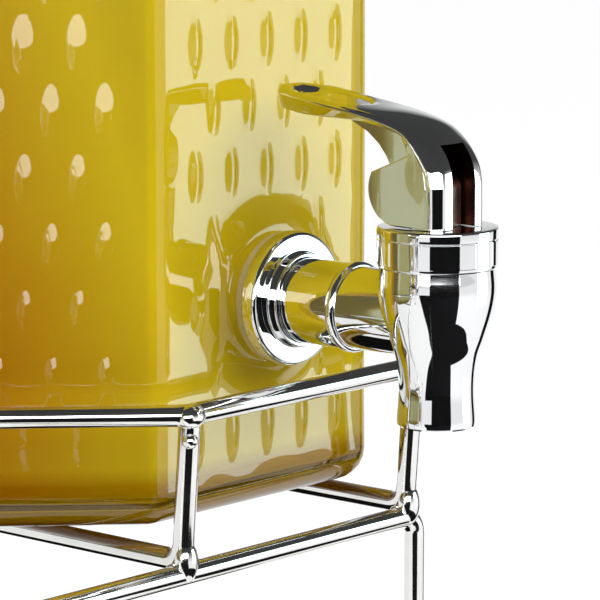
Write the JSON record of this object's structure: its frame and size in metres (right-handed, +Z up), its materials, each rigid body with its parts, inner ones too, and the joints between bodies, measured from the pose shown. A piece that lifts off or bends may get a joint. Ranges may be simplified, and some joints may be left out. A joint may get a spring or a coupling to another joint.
{
  "type": "beverage dispenser set",
  "caption": "Row of octagonal hobnail glass drink jars with lids and chrome lever taps, standing in one welded chrome wire rack on legs.",
  "frame": {"origin": "on the floor, at the middle of the whole object's box", "axes": "+X along the row to the right as seen from the taps, taps towards -Y, +Z up"},
  "size_m": [0.61, 0.2536, 0.3498],
  "materials": {
    "glass": "clear pressed glass",
    "chrome": "polished",
    "rack_chrome": "polished wire",
    "steel": "turned",
    "silicone": "matte translucent",
    "nut_plastic": "moulded",
    "foot_rubber": "matte"
  },
  "bodies": {
    "rack": {"front_frame": "rack_chrome", "rear_frame": "rack_chrome", "foot_caps": "foot_rubber", "guard_rail_left": "rack_chrome", "guard_rail_middle": "rack_chrome", "guard_rail_right": "rack_chrome", "cradle_wires_left": "rack_chrome", "cradle_wires_middle": "rack_chrome", "cradle_wires_right": "rack_chrome"},
    "left_jar": {"jar_left": "glass", "jar_base_left": "glass", "tap_body_left": "chrome", "tap_flange_left": "chrome", "tap_gasket_left": "silicone", "tap_inner_gasket_left": "silicone", "tap_nut_left": "nut_plastic", "tap_collar_left": "chrome"},
    "left_lid": {"lid_left": "glass", "lid_seal_left": "silicone", "lid_knob_left": "chrome", "lid_screw_left": "steel"},
    "left_stem": {"tap_stem_left": "steel", "tap_seat_seal_left": "silicone"},
    "left_lever": {"tap_lever_left": "chrome", "tap_pin_left": "steel"},
    "middle_jar": {"jar_middle": "glass", "jar_base_middle": "glass", "tap_body_middle": "chrome", "tap_flange_middle": "chrome", "tap_gasket_middle": "silicone", "tap_inner_gasket_middle": "silicone", "tap_nut_middle": "nut_plastic", "tap_collar_middle": "chrome"},
    "middle_lid": {"lid_middle": "glass", "lid_seal_middle": "silicone", "lid_knob_middle": "chrome", "lid_screw_middle": "steel"},
    "middle_stem": {"tap_stem_middle": "steel", "tap_seat_seal_middle": "silicone"},
    "middle_lever": {"tap_lever_middle": "chrome", "tap_pin_middle": "steel"},
    "right_jar": {"jar_right": "glass", "jar_base_right": "glass", "tap_body_right": "chrome", "tap_flange_right": "chrome", "tap_gasket_right": "silicone", "tap_inner_gasket_right": "silicone", "tap_nut_right": "nut_plastic", "tap_collar_right": "chrome"},
    "right_lid": {"lid_right": "glass", "lid_seal_right": "silicone", "lid_knob_right": "chrome", "lid_screw_right": "steel"},
    "right_stem": {"tap_stem_right": "steel", "tap_seat_seal_right": "silicone"},
    "right_lever": {"tap_lever_right": "chrome", "tap_pin_right": "steel"}
  },
  "joints": [
    {"name": "left_jar_lift", "type": "slide", "parent": "rack", "child": "left_jar", "axis": [0, 0, 1], "range_m": [0, 0.12]},
    {"name": "left_lid_lift", "type": "slide", "parent": "left_jar", "child": "left_lid", "axis": [0, 0, 1], "range_m": [0, 0.08]},
    {"name": "left_stem_lift", "type": "slide", "parent": "left_jar", "child": "left_stem", "axis": [0, 0, 1], "range_m": [0, 0.00218]},
    {"name": "left_lever_press", "type": "hinge", "parent": "left_stem", "child": "left_lever", "pos_m": [-0.2031, -0.11315, 0.1871], "axis": [-1, 0, 0], "range_deg": [0, 25], "stiffness_Nm_per_rad": 0.4, "springref_deg": -5.73},
    {"name": "middle_jar_lift", "type": "slide", "parent": "rack", "child": "middle_jar", "axis": [0, 0, 1], "range_m": [0, 0.12]},
    {"name": "middle_lid_lift", "type": "slide", "parent": "middle_jar", "child": "middle_lid", "axis": [0, 0, 1], "range_m": [0, 0.08]},
    {"name": "middle_stem_lift", "type": "slide", "parent": "middle_jar", "child": "middle_stem", "axis": [0, 0, 1], "range_m": [0, 0.00218]},
    {"name": "middle_lever_press", "type": "hinge", "parent": "middle_stem", "child": "middle_lever", "pos_m": [0, -0.11315, 0.1871], "axis": [-1, 0, 0], "range_deg": [0, 25], "stiffness_Nm_per_rad": 0.4, "springref_deg": -5.73},
    {"name": "right_jar_lift", "type": "slide", "parent": "rack", "child": "right_jar", "axis": [0, 0, 1], "range_m": [0, 0.12]},
    {"name": "right_lid_lift", "type": "slide", "parent": "right_jar", "child": "right_lid", "axis": [0, 0, 1], "range_m": [0, 0.08]},
    {"name": "right_stem_lift", "type": "slide", "parent": "right_jar", "child": "right_stem", "axis": [0, 0, 1], "range_m": [0, 0.00218]},
    {"name": "right_lever_press", "type": "hinge", "parent": "right_stem", "child": "right_lever", "pos_m": [0.2031, -0.11315, 0.1871], "axis": [-1, 0, 0], "range_deg": [0, 25], "stiffness_Nm_per_rad": 0.4, "springref_deg": -5.73}
  ],
  "couplings": [
    {"joint": "left_lever_press", "follows": "left_stem_lift", "rad_per_m": 200},
    {"joint": "middle_lever_press", "follows": "middle_stem_lift", "rad_per_m": 200},
    {"joint": "right_lever_press", "follows": "right_stem_lift", "rad_per_m": 200}
  ]
}
